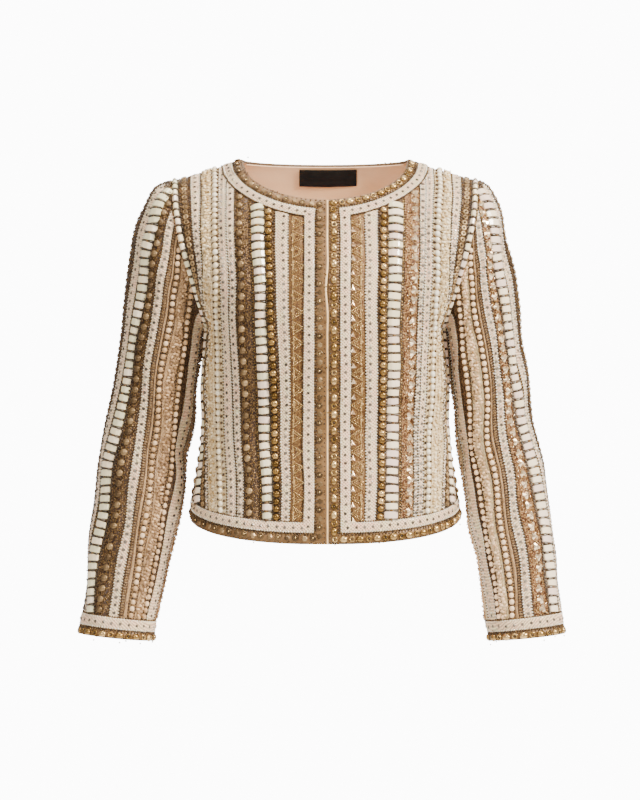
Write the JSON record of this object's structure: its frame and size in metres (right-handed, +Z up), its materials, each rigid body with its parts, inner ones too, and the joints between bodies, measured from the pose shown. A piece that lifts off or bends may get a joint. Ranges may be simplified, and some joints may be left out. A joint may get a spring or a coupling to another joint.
{
  "type": "embellished jacket",
  "caption": "Collarless cropped evening jacket with long sleeves, covered in lengthwise bands of beads, stones and pearls, filled out as if worn.",
  "frame": {"origin": "midway between the two points where the shoulder seams meet the neckline, where the wearer's shoulders carry the jacket", "axes": "+Z up, -Y out of the closed front, +X towards the wearer's left side"},
  "size_m": [0.6281, 0.2415, 0.6244],
  "materials": {
    "beaded_cloth": "ivory silk closely sewn with glass, stone, pearl and metal beads",
    "bead_trim": "ivory braid and bronze bead border",
    "satin": "nude satin with a soft sheen",
    "label": "plain black woven tape"
  },
  "bodies": {
    "root": {"front_right": "beaded_cloth", "front_left": "beaded_cloth", "back": "beaded_cloth", "top_sleeve_right": "beaded_cloth", "top_sleeve_left": "beaded_cloth", "under_sleeve_right": "beaded_cloth", "under_sleeve_left": "beaded_cloth", "front_trim_right": "bead_trim", "front_trim_left": "bead_trim", "neck_trim_right": "bead_trim", "neck_trim_left": "bead_trim", "neck_trim_back": "bead_trim", "hem_trim_right": "bead_trim", "hem_trim_left": "bead_trim", "hem_trim_back": "bead_trim", "cuff_trim_right": "bead_trim", "cuff_trim_left": "bead_trim", "front_piping": "satin", "back_neck_lining": "satin", "neck_label": "label"}
  },
  "joints": []
}
